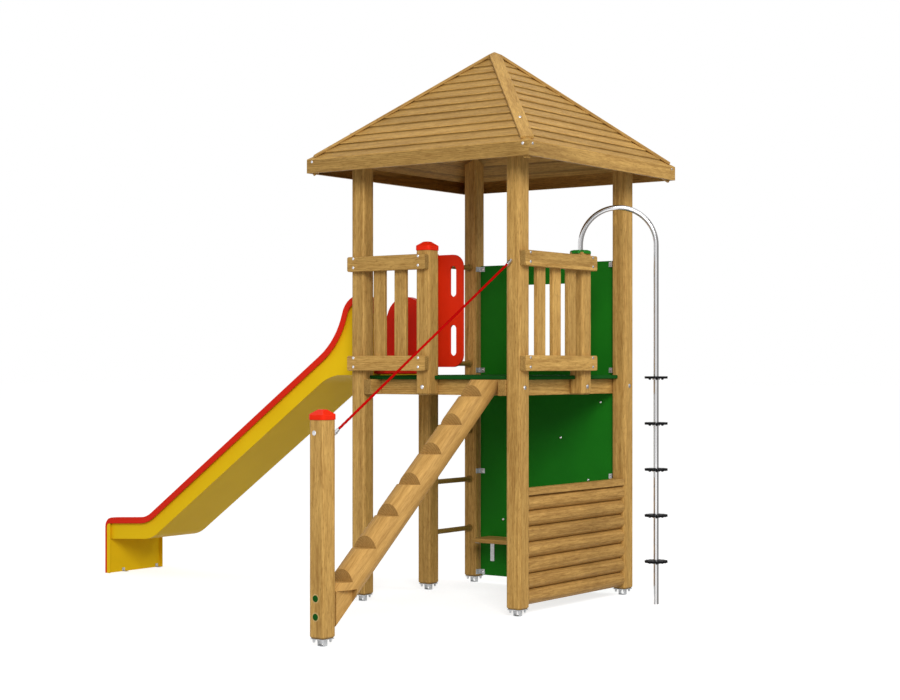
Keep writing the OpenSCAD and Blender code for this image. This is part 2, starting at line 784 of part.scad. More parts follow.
module pole_collar() {
    color(green) place() translate([half, pole_newel_y, newel_z1]) difference() {
        union() {
            cylinder(d = disc_d - 10, h = 14);
            cylinder(d = pole_d + 28, h = collar_h);
        }
        for (i = [0:13]) rotate([0, 0, i * 360 / 14]) translate([disc_d / 2, 0, -1]) cylinder(r = 11, h = 16);
        translate([0, 0, -1]) cylinder(d = pole_d + 2 * fit, h = collar_h + 2);
    }
}

// Stepped log: a round log with level steps cut into its upper side
log_head = -in_face - 2;
step_run = step_rise / tan(log_angle);
module log_body() {
    translate([log_x, step_y, step_z - step_over]) rotate([log_angle, 0, 0]) rotate([90, 0, 0])
        cylinder(d = log_d, h = 4 * log_post_y, center = true);
}
module stepped_log() {
    color(wood) place() difference() {
        intersection() {
            log_body();
            span([log_x - log_d, log_end, 0], [log_x + log_d, log_head, beam_z1]);
        }
        for (i = [0:steps - 1])
            translate([log_x - log_d, step_y - (i + 1) * step_run, step_z - i * step_rise])
                cube([2 * log_d, step_run, log_d]);
        // The flats beside the post
        for (s = [-1, 1])
            translate([log_x + (s > 0 ? pw : -pw - log_d), log_end - 1, -1])
                cube([log_d, log_flat_l + 1, log_flat_z + 1]);
    }
}

// Rope handrail from the log's post to the front corner post
rope_a = [log_x + 30, log_end, log_post_h - rope_down];
rope_b = [half - 11, -out_face, deck_h + rope_up];
rope_v = rope_b - rope_a;
rope_n = norm(rope_v);
rope_stud = 9;
rope_stud_l = 52;
rope_sleeve_l = 26;
rope_plate = 5;
module along_rope(s) {
    translate(rope_a + rope_v * (s / rope_n))
        rotate([0, acos(rope_v[2] / rope_n), atan2(rope_v[1], rope_v[0])]) children();
}
module rope() {
    color("#c80000") place() along_rope(rope_stud_l + fit)
        cylinder(d = rope_d, h = rope_n - rope_stud_l - rope_sleeve_l - rope_stud - 2 * fit);
}
// A stud at the rope's lower end, a sleeve on a stud at its upper end, and a small plate on each post
module rope_fittings() {
    color(steel) place() {
        intersection() {
            along_rope(-rope_stud) cylinder(d = rope_stud, h = rope_stud_l + rope_stud);
            translate([0, log_end, 0]) span([0, 0, 0], [half, half, deck_h]);
        }
        translate(rope_a) rotate([-90, 0, 0]) cylinder(d = 2 * rope_stud, h = rope_plate);
        along_rope(rope_n - rope_stud - rope_sleeve_l) cylinder(d = rope_d, h = rope_sleeve_l);
        intersection() {
            along_rope(rope_n - 2 * rope_stud) cylinder(d = rope_stud, h = 4 * rope_stud);
            span([0, -post_pitch, deck_h], [out_face, -out_face, newel_z1]);
        }
        translate(rope_b) rotate([90, 0, 0]) cylinder(d = 2 * rope_stud, h = rope_plate);
    }
}

post_front();
post_left();
post_right();
post_back();
slide_side_post();
entry_newel();
pole_newel();
log_post();
post_feet();
post_caps();
side_beams();
cross_joists();
floor_panel();
front_rails();
front_slats();
side_rails();
side_slats();
roof_eaves();
roof_rafters();
roof_front();
roof_right();
roof_back();
roof_left();
roof_hips();
slide_liner();
slide_shell();
slide_feet();
climbing_wall();
climbing_holds();
wall_brackets();
bench_seat();
bench_brackets();
half_logs();
half_log_cap();
half_log_battens();
ladder_rungs();
guard_bars();
grab_panel();
pole_tube();
pole_discs();
pole_collar();
stepped_log();
rope();
rope_fittings();
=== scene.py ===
import math

import bmesh
import bpy
from mathutils import Matrix, Vector


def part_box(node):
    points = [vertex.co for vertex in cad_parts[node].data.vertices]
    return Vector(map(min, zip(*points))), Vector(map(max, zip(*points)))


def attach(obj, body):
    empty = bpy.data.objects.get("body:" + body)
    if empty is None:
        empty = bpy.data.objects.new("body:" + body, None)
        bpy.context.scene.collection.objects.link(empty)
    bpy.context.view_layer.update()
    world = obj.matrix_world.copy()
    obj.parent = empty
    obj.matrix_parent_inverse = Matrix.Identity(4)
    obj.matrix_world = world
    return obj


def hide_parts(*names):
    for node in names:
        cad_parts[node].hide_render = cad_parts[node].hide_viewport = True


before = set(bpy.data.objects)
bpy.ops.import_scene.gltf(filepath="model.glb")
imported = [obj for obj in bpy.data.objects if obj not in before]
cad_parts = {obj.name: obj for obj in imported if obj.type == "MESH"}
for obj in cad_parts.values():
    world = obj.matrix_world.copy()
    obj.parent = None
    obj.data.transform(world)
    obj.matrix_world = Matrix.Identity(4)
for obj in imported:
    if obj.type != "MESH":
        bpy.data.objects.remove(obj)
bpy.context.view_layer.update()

# Camera: it stands at adult eye height, held level, and looks past the corner post
# between the entry side and the pole side. The tower's centre is where the lines
# between opposite corner posts cross.
tower = (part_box("post_front")[0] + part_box("post_back")[1]) / 2
tower.z = 0.0
camera_data = bpy.data.cameras.new("photo_camera")
camera_data.sensor_width = 36.0
camera_data.lens = 69.563
camera_data.shift_x = -0.0661
camera_data.shift_y = 0.0183
camera = bpy.data.objects.new("photo_camera", camera_data)
camera.location = tower + Vector((6.789, -9.501, 1.552))
camera.rotation_euler = (math.radians(90.0), 0.0, math.radians(35.05))
bpy.context.scene.collection.objects.link(camera)
bpy.context.scene.camera = camera
bpy.context.scene.view_settings.view_transform = "Standard"

# Studio: a white room with a large softbox near the camera's side, a smaller one that
# skims the roof from the pole's side, a white floor that keeps a faint shadow, and two
# grey flags round the pole that only polished metal shows.
WHITE = (1.0, 1.0, 1.0, 1.0)
AMBIENT = 0.48
FLOOR_WHITE = 0.57
FLOOR_LIFT = 0.73
FLOOR_REACH = 120.0
LAMP_AIM = (0.0, 0.0, 1.6)


def add_node(tree, kind, inputs=None, **settings):
    """Adds a shader node, sets or joins its inputs, and returns its first output."""
    node = tree.nodes.new("ShaderNode" + kind)
    for setting, value in settings.items():
        setattr(node, setting, value)
    for socket, value in (inputs or {}).items():
        if isinstance(value, bpy.types.NodeSocket):
            tree.links.new(value, node.inputs[socket])
        else:
            node.inputs[socket].default_value = value
    return node.outputs[0]


def seen_straight(tree):
    """1 for rays from the camera and for those that metal and glass send back."""
    path = add_node(tree, "LightPath").node
    either = add_node(tree, "Math", {0: path.outputs["Is Camera Ray"],
                                     1: path.outputs["Is Glossy Ray"]}, operation="MAXIMUM")
    return add_node(tree, "Math", {0: either, 1: path.outputs["Is Transmission Ray"]},
                    operation="MAXIMUM")


def studio_material(name):
    """An empty material for the studio; returns it with its tree and its surface socket."""
    material = bpy.data.materials.new(name)
    material.use_nodes = True
    material.node_tree.nodes.clear()
    output = material.node_tree.nodes.new("ShaderNodeOutputMaterial")
    return material, material.node_tree, output.inputs["Surface"]


def studio_object(name, bm, material):
    """Turns a bmesh into a part of the studio, which is not a part of the tower."""
    mesh = bpy.data.meshes.new(name)
    bm.to_mesh(mesh)
    bm.free()
    mesh.materials.append(material)
    thing = bpy.data.objects.new(name, mesh)
    bpy.context.scene.collection.objects.link(thing)
    return thing


def softbox(name, place, size, power):
    """A square lamp at a place round the tower, turned to the middle of the tower."""
    lamp = bpy.data.lights.new(name, "AREA")
    lamp.size = size
    lamp.energy = power
    box = bpy.data.objects.new(name, lamp)
    box.location = tower + Vector(place)
    aim = tower + Vector(LAMP_AIM) - box.location
    box.rotation_euler = aim.to_track_quat("-Z", "Y").to_euler()
    bpy.context.scene.collection.objects.link(box)


world = bpy.data.worlds.new("white_room")
bpy.context.scene.world = world
world.use_nodes = True
world_tree = world.node_tree
world_tree.nodes.clear()
room_light = add_node(world_tree, "Background", {"Color": WHITE, "Strength": AMBIENT})
room_seen = add_node(world_tree, "Background", {"Color": WHITE, "Strength": 1.0})
room = add_node(world_tree, "MixShader",
                {0: seen_straight(world_tree), 1: room_light, 2: room_seen})
world_tree.links.new(room, world_tree.nodes.new("ShaderNodeOutputWorld").inputs["Surface"])

softbox("key_softbox", (11.0, -13.2, 8.6), 6.5, 1850.0)
softbox("roof_softbox", (8.0, 3.0, 7.0), 3.0, 230.0)

floor_material, floor_tree, floor_surface = studio_material("studio_floor")
floor_paint = add_node(floor_tree, "BsdfDiffuse",
                       {"Color": (FLOOR_WHITE, FLOOR_WHITE, FLOOR_WHITE, 1.0)})
floor_lift = add_node(floor_tree, "Math", {0: seen_straight(floor_tree), 1: FLOOR_LIFT},
                      operation="MULTIPLY")
floor_glow = add_node(floor_tree, "Emission", {"Color": WHITE, "Strength": floor_lift})
floor_tree.links.new(add_node(floor_tree, "AddShader", {0: floor_paint, 1: floor_glow}),
                     floor_surface)
floor_bm = bmesh.new()
bmesh.ops.create_grid(floor_bm, x_segments=1, y_segments=1, size=FLOOR_REACH)
studio_object("studio_floor", floor_bm, floor_material)

POLE = (1.059, 0.332)
FLAG_FOOT = (0.02, 0.003)
FLAGS = ((3.5, 6.0, -31.0, 150.0), (0.50, 2.7, -97.0, -40.0))
FLAG_GREY = (0.34, 0.33, 0.32, 1.0)
flag_bm = bmesh.new()
for reach, top, start, turn in FLAGS:
    bearing = math.radians(start)
    corners = [flag_bm.verts.new((away * math.cos(bearing), away * math.sin(bearing), z))
               for away, z in (FLAG_FOOT, (reach, FLAG_FOOT[1]), (reach, top))]
    edges = [flag_bm.edges.new(pair) for pair in zip(corners, corners[1:])]
    bmesh.ops.spin(flag_bm, geom=corners + edges, cent=(0.0, 0.0, 0.0), axis=(0.0, 0.0, 1.0),
                   angle=math.radians(turn), steps=24)
bmesh.ops.translate(flag_bm, verts=flag_bm.verts, vec=tower + Vector((*POLE, 0.0)))
flag_cloth, flag_tree, flag_surface = studio_material("grey_flags")
flag_tree.links.new(add_node(flag_tree, "Emission", {"Color": FLAG_GREY, "Strength": 1.0}),
                    flag_surface)
grey_flags = studio_object("grey_flags", flag_bm, flag_cloth)
for ray in ("camera", "diffuse", "transmission", "volume_scatter", "shadow"):
    setattr(grey_flags, "visible_" + ray, False)

# Posts: six planed softwood ground posts of 109 mm and two newels that hang on the
# platform's beams, all with wide rounded arrises and an oiled, open grain. Domed
# carriage bolts hold them to the beams.
WOOD_LIGHT = (0.715, 0.437, 0.128, 1.0)
WOOD_DARK = (0.325, 0.162, 0.035, 1.0)
WOOD_KNOT = (0.150, 0.066, 0.016, 1.0)
WOOD_SPECK = (0.250, 0.115, 0.026, 1.0)
FIBRES = 150.0
STREAKS = 46.0
RING_WAVES = 560.0
WAVER = (0.08, 0.08, 0.0)
GRAIN_RANGE = (0.36, 0.74)
PORE_RANGE = (0.57, 0.73)
KNOT_WAVES = 420.0
KNOT_CORE = (0.006, 0.017)
KNOT_HALO = (0.016, 0.048)
CLOUD_TONES = (0.91, 1.08)
BOARD_TONES = (0.93, 1.06)
BOARD_SHIFT = (3.0, 5.0, 9.0)
# Where in each board's row the painted lap shadow runs, as shares of the row.
LAP_SHADOW_BAND = (0.70, 0.97)
SAWN_SHADES = (0.66, 0.72)


def ramp(tree, factor, stops):
    """A colour ramp from (position, colour) pairs."""
    node = add_node(tree, "ValToRGB", {"Fac": factor}).node
    elements = node.color_ramp.elements
    for place, colour in stops[2:]:
        elements.new(place)
    for element, (place, colour) in zip(elements, stops):
        element.position = place
        element.color = colour
    return node.outputs["Color"]


def mix(tree, factor, a, b):
    """Two colours mixed by a factor."""
    node = tree.nodes.new("ShaderNodeMix")
    node.data_type = "RGBA"
    for socket, value in ((node.inputs[0], factor), (node.inputs[6], a), (node.inputs[7], b)):
        if isinstance(value, bpy.types.NodeSocket):
            tree.links.new(value, socket)
        else:
            socket.default_value = value
    return node.outputs[2]


def noise(tree, place, scale, detail=2.0, roughness=0.5):
    """A cloudy pattern with so many cells to a metre."""
    return add_node(tree, "TexNoise", {"Vector": place, "Scale": scale, "Detail": detail,
                                       "Roughness": roughness})


def object_place(tree):
    """The place on the piece, in metres."""
    return add_node(tree, "TexCoord").node.outputs["Object"]


def new_finish(name, **sockets):
    """A material with its shader's plain values set; returns it with its tree and shader."""
    material = bpy.data.materials.new(name)
    material.use_nodes = True
    shader = material.node_tree.nodes["Principled BSDF"]
    for socket, value in sockets.items():
        shader.inputs[socket.replace("_", " ")].default_value = value
    return material, material.node_tree, shader


def wood(name, along=(0.0, 0.0, 1.0), boards=None, light=WOOD_LIGHT, dark=WOOD_DARK,
         folded=False, heart=None, knots=1.6, sawn_from=0.45, sawn_to=0.95, lap_shadow=0.0,
         specks=0.55):
    """Planed wood with its grain along a direction. boards is a direction, a start and a
    pitch that tell one board from the next. The lap setting paints shade: each board's row
    is darkened towards its top, where the lap of the board above would shade it.
    folded turns all four corners of the tower into one. heart is a point on the line at
    which a log's rings are centred. Faces turned towards the grain by sawn_from to sawn_to
    show the rings. knots and specks set how many knots and how much dark pore it has."""
    material, tree, shader = new_finish(name, Roughness=0.55, Specular_IOR_Level=0.15)

    def vector(operation, *values, **more):
        inputs = {**dict(enumerate(values)), **more}
        return add_node(tree, "VectorMath", inputs, operation=operation)

    def dot(a, b):
        return vector("DOT_PRODUCT", a, b).node.outputs["Value"]

    def value(operation, *numbers):
        return add_node(tree, "Math", dict(enumerate(numbers)), operation=operation)

    def spread(source, start, end, first=0.0, last=1.0):
        return add_node(tree, "MapRange", {"Value": source, "From Min": start, "From Max": end,
                                           "To Min": first, "To Max": last})

    def waves(source, count):
        return value("MULTIPLY_ADD", value("SINE", value("MULTIPLY", source, count)), 0.5, 0.5)

    place = object_place(tree)
    facing = add_node(tree, "NewGeometry").node.outputs["True Normal"]
    if folded:
        place = vector("ABSOLUTE", vector("SUBTRACT", place, tower))
        facing = vector("ABSOLUTE", facing)
    if boards:
        across, start, pitch = boards
        row = value("DIVIDE", value("SUBTRACT", dot(place, across), start), pitch)
        chance = add_node(tree, "TexWhiteNoise", {"W": value("FLOOR", row)},
                          noise_dimensions="1D").node
        place = vector("ADD", place, vector("MULTIPLY", chance.outputs["Color"], BOARD_SHIFT))
    axis = Vector(along).normalized()
    side = axis.orthogonal().normalized()
    from_heart = vector("SUBTRACT", place, heart or (0.0, 0.0, 0.0))
    laid = add_node(tree, "CombineXYZ", {
        socket: dot(from_heart, direction)
        for socket, direction in (("X", side), ("Y", axis.cross(side)), ("Z", axis))})

    def drawn_out(share):
        """The place in the grain, with lengths along the grain cut to a share."""
        return vector("MULTIPLY", laid, (1.0, 1.0, share))

    long_grain = drawn_out(0.07)
    waver = noise(tree, long_grain, 5.0).node.outputs["Color"]
    bent = vector("ADD", long_grain, vector("MULTIPLY", waver, WAVER))
    if heart:
        radius = vector("LENGTH", vector("MULTIPLY", bent, (1.0, 1.0, 0.0))).node.outputs["Value"]
    else:
        radius = dot(bent, (0.82, 0.57, 0.0))
    rings = waves(radius, RING_WAVES)
    fibre = noise(tree, drawn_out(0.09), FIBRES, 4.0, 0.65)
    streak = noise(tree, bent, STREAKS, 3.0, 0.6)
    grain = value("MULTIPLY_ADD", fibre, 0.62, value("MULTIPLY", rings, 0.10))
    grain = value("MULTIPLY_ADD", streak, 0.38, grain)
    colour = ramp(tree, grain, list(zip(GRAIN_RANGE, (dark, light))))
    pores = spread(noise(tree, drawn_out(0.22), FIBRES), *PORE_RANGE, 0.0, specks)
    colour = mix(tree, pores, colour, WOOD_SPECK)

    tone = spread(noise(tree, long_grain, 9.0), 0.3, 0.7, *CLOUD_TONES)
    if boards:
        tone = value("MULTIPLY", tone, spread(chance.outputs["Value"], 0.0, 1.0, *BOARD_TONES))
    # Painted shade: each board's row darkens towards its top, where the board above laps over it.
    if lap_shadow:
        painted_lap_shadow = spread(value("FRACT", row), *LAP_SHADOW_BAND, 1.0, 1.0 - lap_shadow)
        tone = value("MULTIPLY", tone, painted_lap_shadow)
    colour = vector("SCALE", colour, Scale=tone)

    knot = add_node(tree, "TexVoronoi", {"Vector": drawn_out(0.5), "Scale": knots}, feature="F1")
    halo = value("MULTIPLY", spread(knot, *KNOT_HALO, 0.35, 0.0), waves(knot, KNOT_WAVES))
    core = spread(knot, *KNOT_CORE, 0.60, 0.0)
    colour = mix(tree, value("MAXIMUM", halo, core), colour, WOOD_KNOT)

    sawn = spread(value("ABSOLUTE", dot(facing, axis)), sawn_from, sawn_to)
    end_grain = vector("SCALE", colour, Scale=spread(rings, 0.0, 1.0, *SAWN_SHADES))
    tree.links.new(mix(tree, sawn, colour, end_grain), shader.inputs["Base Color"])
    bump = add_node(tree, "Bump", {"Height": grain, "Strength": 0.30, "Distance": 0.002})
    tree.links.new(bump, shader.inputs["Normal"])
    return material


def new_piece(name, bm, finish, slot, *stands_for):
    """Turns a bmesh into a piece that rides on the tower, with its finish; slot is not used."""
    mesh = bpy.data.meshes.new(name)
    bm.to_mesh(mesh)
    bm.free()
    mesh.shade_smooth()
    mesh.set_sharp_from_angle(angle=math.radians(50.0))
    for one in finish if isinstance(finish, (list, tuple)) else [finish]:
        mesh.materials.append(one)
    piece = bpy.data.objects.new(name, mesh)
    bpy.context.scene.collection.objects.link(piece)
    even = piece.modifiers.new("even_shading", "WEIGHTED_NORMAL")
    even.keep_sharp = True
    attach(piece, "root")
    if stands_for:
        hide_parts(*stands_for)
    return piece


def merged_copy(node):
    """A node's triangles as one closed bmesh with its flat faces joined."""
    bm = bmesh.new()
    bm.from_mesh(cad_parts[node].data)
    bmesh.ops.remove_doubles(bm, verts=bm.verts, dist=2e-5)
    bmesh.ops.dissolve_limit(bm, angle_limit=math.radians(0.5), verts=bm.verts, edges=bm.edges)
    return bm


def round_edges(bm, edges, radius, segments):
    """Bevels edges; one segment makes a flat chamfer."""
    bmesh.ops.bevel(bm, geom=edges, offset=radius, segments=segments, profile=0.5,
                    affect="EDGES", material=-1, clamp_overlap=True)


def ease(bm, radius, segments=2, sharper_than=35.0, along=None):
    """Rounds the sharp edges, or only those that run along a direction."""
    arrises = [e for e in bm.edges
               if e.is_manifold and e.calc_face_angle() > math.radians(sharper_than)
               and (along is None
                    or abs((e.verts[0].co - e.verts[1].co).normalized().dot(along)) > 0.99)]
    round_edges(bm, arrises, radius, segments)


def aimed(place, direction):
    """The matrix that moves a shape to a place and turns its z axis along a direction."""
    turn = Vector(direction).to_track_quat("Z", "Y").to_matrix().to_4x4()
    return Matrix.Translation(place) @ turn


def add_turned(bm, profile, placed, steps, closed=False):
    """Adds a solid turned from a profile of radii and heights, and moves it by a matrix."""
    outline = [bm.verts.new((radius, 0.0, height)) for radius, height in profile]
    following = outline[1:] + outline[:1] if closed else outline[1:]
    edges = [bm.edges.new(pair) for pair in zip(outline, following)]
    bmesh.ops.spin(bm, geom=outline + edges, cent=(0.0, 0.0, 0.0), axis=(0.0, 0.0, 1.0),
                   angle=math.tau, steps=steps, use_merge=True)
    solid = [v for v in bm.verts if not v.tag]
    bmesh.ops.transform(bm, matrix=placed, verts=solid)
    for v in solid:
        v.tag = True


def close_up(bm):
    """Merges doubled points and turns every face outwards."""
    bmesh.ops.remove_doubles(bm, verts=bm.verts, dist=1e-5)
    bmesh.ops.recalc_face_normals(bm, faces=bm.faces)


def heads(name, finish, slot, places, radius, height, flat=0.0, steps=18):
    """Domed fastener heads in one piece, each at a place from the tower's centre with an
    outward direction. flat is the share of the radius that stays level at the top."""
    crown = (flat, 1.0) if flat >= 0.35 else (0.35, 0.96)
    shares = ((0.0, 1.0), crown, (0.5 + flat / 2, 0.80), (0.92, 0.42), (1.0, 0.12), (1.0, 0.0),
              (0.0, 0.0))
    bm = bmesh.new()
    for middle, out in places:
        add_turned(bm, [(radius * r, height * h) for r, h in shares],
                   aimed(tower + Vector(middle), out), steps)
    close_up(bm)
    return new_piece(name, bm, finish, slot)


post_wood = wood("post_wood")
END_CHAMFER = 0.011
for post in ("post_front", "post_left", "post_right", "post_back", "slide_side_post",
             "entry_newel", "pole_newel", "log_post"):
    timber = merged_copy(post)
    lowest = min(v.co.z for v in timber.verts)
    foot_edges = [e for e in timber.edges if max(v.co.z for v in e.verts) < lowest + 1e-4]
    round_edges(timber, foot_edges, END_CHAMFER, 1)
    ease(timber, 0.002, 1, 40.0)
    new_piece(post + "_finished", timber, post_wood, "post_wood", post)

bright_zinc, bright_tree, bright_shader = new_finish("bright_zinc", Metallic=1.0, Roughness=0.30)
bright_cloud = noise(bright_tree, object_place(bright_tree), 260.0)
bright_colour = ramp(bright_tree, bright_cloud,
                     [(0.3, (0.52, 0.52, 0.54, 1.0)), (0.7, (0.74, 0.74, 0.76, 1.0))])
bright_tree.links.new(bright_colour, bright_shader.inputs["Base Color"])

POST = 0.625
POST_FACE = 0.6795
SLIDE_POST = 0.085
ENTRY_NEWEL = -0.085
POLE_NEWEL = 0.095
BEAM_MIDDLE = 1.421
heads("beam_bolts", bright_zinc, "zinc_steel",
      [((POST_FACE, y, BEAM_MIDDLE), (1, 0, 0)) for y in (-POST, POLE_NEWEL, POST)]
      + [((ENTRY_NEWEL, -POST_FACE, BEAM_MIDDLE), (0, -1, 0))]
      + [((-POST_FACE, y, BEAM_MIDDLE), (-1, 0, 0)) for y in (-POST, SLIDE_POST, POST)],
      radius=0.014, height=0.008)

# Feet: galvanised steel plates under the posts, held by four hexagon screws driven up
# from below, each on a folded shoe that is cast into a footing.
zinc, zinc_tree, zinc_shader = new_finish("galvanised_steel", Metallic=0.85, Roughness=0.42)
zinc_spangle = add_node(zinc_tree, "TexVoronoi", {"Vector": object_place(zinc_tree),
                                                  "Scale": 160.0}).node.outputs["Color"]
zinc_value = add_node(zinc_tree, "RGBToBW", {"Color": zinc_spangle})
zinc_colour = ramp(zinc_tree, zinc_value,
                   [(0.0, (0.42, 0.43, 0.44, 1.0)), (1.0, (0.60, 0.61, 0.62, 1.0))])
zinc_tree.links.new(zinc_colour, zinc_shader.inputs["Base Color"])


def eased(node, finish, slot, radius, segments=2, sharper_than=35.0, corners=None):
    """A copy of a node with its arrises eased to a radius; it stands for the node. corners
    is a direction through the board and the wider radius of the corners there."""
    bm = merged_copy(node)
    if corners:
        through, corner_radius = corners
        ease(bm, corner_radius, 4, 60.0, Vector(through))
    ease(bm, radius, segments, sharper_than)
    return new_piece(node + "_finished", bm, finish, slot, node)


eased("post_feet", zinc, "zinc_steel", 0.0012)
LOG_POST = (0.398, -2.1983)
FOOT_PLATE = 0.040
SCREW_OUT = 0.033
heads("foot_screws", zinc, "zinc_steel",
      [((x + dx, y + dy, FOOT_PLATE), (0, 0, -1))
       for x, y in ((POST, -POST), (-POST, -POST), (POST, POST), (-POST, POST),
                    (-POST, SLIDE_POST), LOG_POST)
       for dx in (-SCREW_OUT, SCREW_OUT) for dy in (-SCREW_OUT, SCREW_OUT)],
      radius=0.0095, height=0.018, flat=0.6, steps=6)

# Platform: beams and joists of planed softwood between the posts, with a dark green
# sheet screwed on as floor.
beam_wood = wood("beam_wood", along=(0.0, 1.0, 0.0), boards=((1.0, 0.0, 0.0), 0.0, 0.3))
joist_wood = wood("joist_wood", along=(1.0, 0.0, 0.0), boards=((0.0, 1.0, 0.0), 0.0, 0.3))
eased("side_beams", beam_wood, "board_wood", 0.004)
eased("cross_joists", joist_wood, "board_wood", 0.004)


def moulded(name, colour, darker, roughness, pebbles, bump, gloss):
    """Coloured plastic with a faint change of tone and a fine moulded grain, which has so
    many pebbles to a metre."""
    material, tree, shader = new_finish(name, Roughness=roughness, Specular_IOR_Level=gloss)
    place = object_place(tree)
    tint = ramp(tree, noise(tree, place, 2.2, 3.0), [(0.35, darker), (0.65, colour)])
    tree.links.new(tint, shader.inputs["Base Color"])
    height = add_node(tree, "Bump", {"Height": noise(tree, place, pebbles), "Strength": bump,
                                     "Distance": 0.001})
    tree.links.new(height, shader.inputs["Normal"])
    return material


floor_green = moulded("floor_green", (0.011, 0.095, 0.014, 1.0), (0.009, 0.076, 0.011, 1.0),
                      roughness=0.8, pebbles=900.0, bump=0.3, gloss=0.02)
eased("floor_panel", floor_green, "green_plastic", 0.006, 3)

# Guard rails: two boards outside the posts with rounded ends, two domed screws at each
# post, and upright slats behind them.
rail_wood_x = wood("rail_wood_x", along=(1.0, 0.0, 0.0), boards=((0.0, 0.0, 1.0), 0.0, 0.5))
rail_wood_y = wood("rail_wood_y", along=(0.0, 1.0, 0.0), boards=((0.0, 0.0, 1.0), 0.2, 0.5))
slat_wood_x = wood("slat_wood_x", boards=((1.0, 0.0, 0.0), 0.0, 0.13))
slat_wood_y = wood("slat_wood_y", boards=((0.0, 1.0, 0.0), 0.0, 0.13))
RAIL_CORNER = 0.012
eased("front_rails", rail_wood_x, "board_wood", 0.005, 3, corners=((0, 1, 0), RAIL_CORNER))
eased("side_rails", rail_wood_y, "board_wood", 0.005, 3, corners=((1, 0, 0), RAIL_CORNER))
eased("front_slats", slat_wood_x, "board_wood", 0.005, 3)
eased("side_slats", slat_wood_y, "board_wood", 0.005, 3)
RAIL_FACE = 0.7235
RAIL_SCREW_HEIGHTS = (1.549, 1.608, 2.201, 2.260)
heads("rail_screws", bright_zinc, "zinc_steel",
      [((x, -RAIL_FACE, z), (0, -1, 0)) for x in (-POST, ENTRY_NEWEL)
       for z in RAIL_SCREW_HEIGHTS]
      + [((RAIL_FACE, y, z), (1, 0, 0)) for y in (-POST, POLE_NEWEL)
         for z in RAIL_SCREW_HEIGHTS],
      radius=0.0095, height=0.005)

# Caps: moulded red plastic hoods with a low pyramid top, pressed over the posts that
# end in the open.
red_plastic = moulded("red_plastic", (0.900, 0.024, 0.004, 1.0), (0.840, 0.021, 0.003, 1.0),
                      roughness=0.40, pebbles=700.0, bump=0.12, gloss=0.1)
eased("post_caps", red_plastic, "red_plastic", 0.006, 3, 12.0)

# Roof: lapped boards on four hip rafters, a cover board on each hip held by a screw at
# its foot, and eaves boards mitred and screwed at the corners.
SLOPE = math.radians(40.19)
HIP = math.atan(math.tan(SLOPE) / math.sqrt(2.0))
ROW = 0.0914
EAVES_FACE = 0.886
EAVES_FOOT = 2.8865
# The left and right eaves get a darker copy of the eaves wood, as painted shade for those two
# sides.
SIDE_EAVES_SHADED_LIGHT = (0.640, 0.388, 0.112, 1.0)
SIDE_EAVES_SHADED_DARK = (0.285, 0.140, 0.030, 1.0)
eaves_wood = [wood("eaves_wood_x", along=(1.0, 0.0, 0.0)),
              wood("eaves_wood_y_shaded", along=(0.0, 1.0, 0.0), light=SIDE_EAVES_SHADED_LIGHT, dark=SIDE_EAVES_SHADED_DARK)]
hip_wood = wood("hip_wood", folded=True,
                along=(-math.cos(HIP), -math.cos(HIP), math.sin(HIP) * math.sqrt(2.0)))
eaves = merged_copy("roof_eaves")
for mitre in ((1.0, 1.0, 0.0), (1.0, -1.0, 0.0)):
    bmesh.ops.bisect_plane(eaves, geom=eaves.verts[:] + eaves.edges[:] + eaves.faces[:],
                           plane_co=tower, plane_no=mitre)
# Faces of the left and right eaves take the second finish, the one with the painted shade.
for face in eaves.faces:
    middle = face.calc_center_median() - tower
    face.material_index = 0 if abs(middle.y) > abs(middle.x) else 1
ease(eaves, 0.005, 3)
new_piece("roof_eaves_finished", eaves, eaves_wood, "roof_wood", "roof_eaves")
eased("roof_rafters", hip_wood, "roof_wood", 0.003)
for node, (x, y) in (("roof_front", (0.0, -1.0)), ("roof_right", (1.0, 0.0)),
                     ("roof_back", (0.0, 1.0)), ("roof_left", (-1.0, 0.0))):
    up_slope = Vector((-x * math.cos(SLOPE), -y * math.cos(SLOPE), math.sin(SLOPE)))
    foot = tower + Vector((x * EAVES_FACE, y * EAVES_FACE, EAVES_FOOT))
    face_wood = wood("wood_" + node, along=(y, x, 0.0),
                     boards=(up_slope, foot.dot(up_slope), ROW), knots=1.2, lap_shadow=0.38)
    eased(node, face_wood, "roof_wood", 0.0015)
eased("roof_hips", hip_wood, "roof_wood", 0.004)

EAVES_SCREW = 0.842
EAVES_SCREW_HEIGHT = 2.897
SUNK_FACE = 0.8825
heads("eaves_screws", bright_zinc, "zinc_steel",
      [((s * EAVES_SCREW, -EAVES_FACE, EAVES_SCREW_HEIGHT), (0, -1, 0)) for s in (-1, 1)]
      + [((s * EAVES_FACE, t * EAVES_SCREW, EAVES_SCREW_HEIGHT), (s, 0, 0))
         for s in (-1, 1) for t in (-1, 1)],
      radius=0.009, height=0.004)
heads("eaves_screws_back", bright_zinc, "zinc_steel",
      [((s * EAVES_SCREW, SUNK_FACE, EAVES_SCREW_HEIGHT), (0, 1, 0)) for s in (-1, 1)],
      radius=0.009, height=0.0035)
PEAK = 3.6647
HIP_SCREW = 0.680
HIP_SCREW_HEIGHT = PEAK - HIP_SCREW * math.tan(SLOPE)
HIP_OUT = math.sin(HIP) / math.sqrt(2.0)
heads("hip_screws", bright_zinc, "zinc_steel",
      [((s * HIP_SCREW, t * HIP_SCREW, HIP_SCREW_HEIGHT), (s * HIP_OUT, t * HIP_OUT, math.cos(HIP)))
       for s in (-1, 1) for t in (-1, 1)],
      radius=0.010, height=0.009)

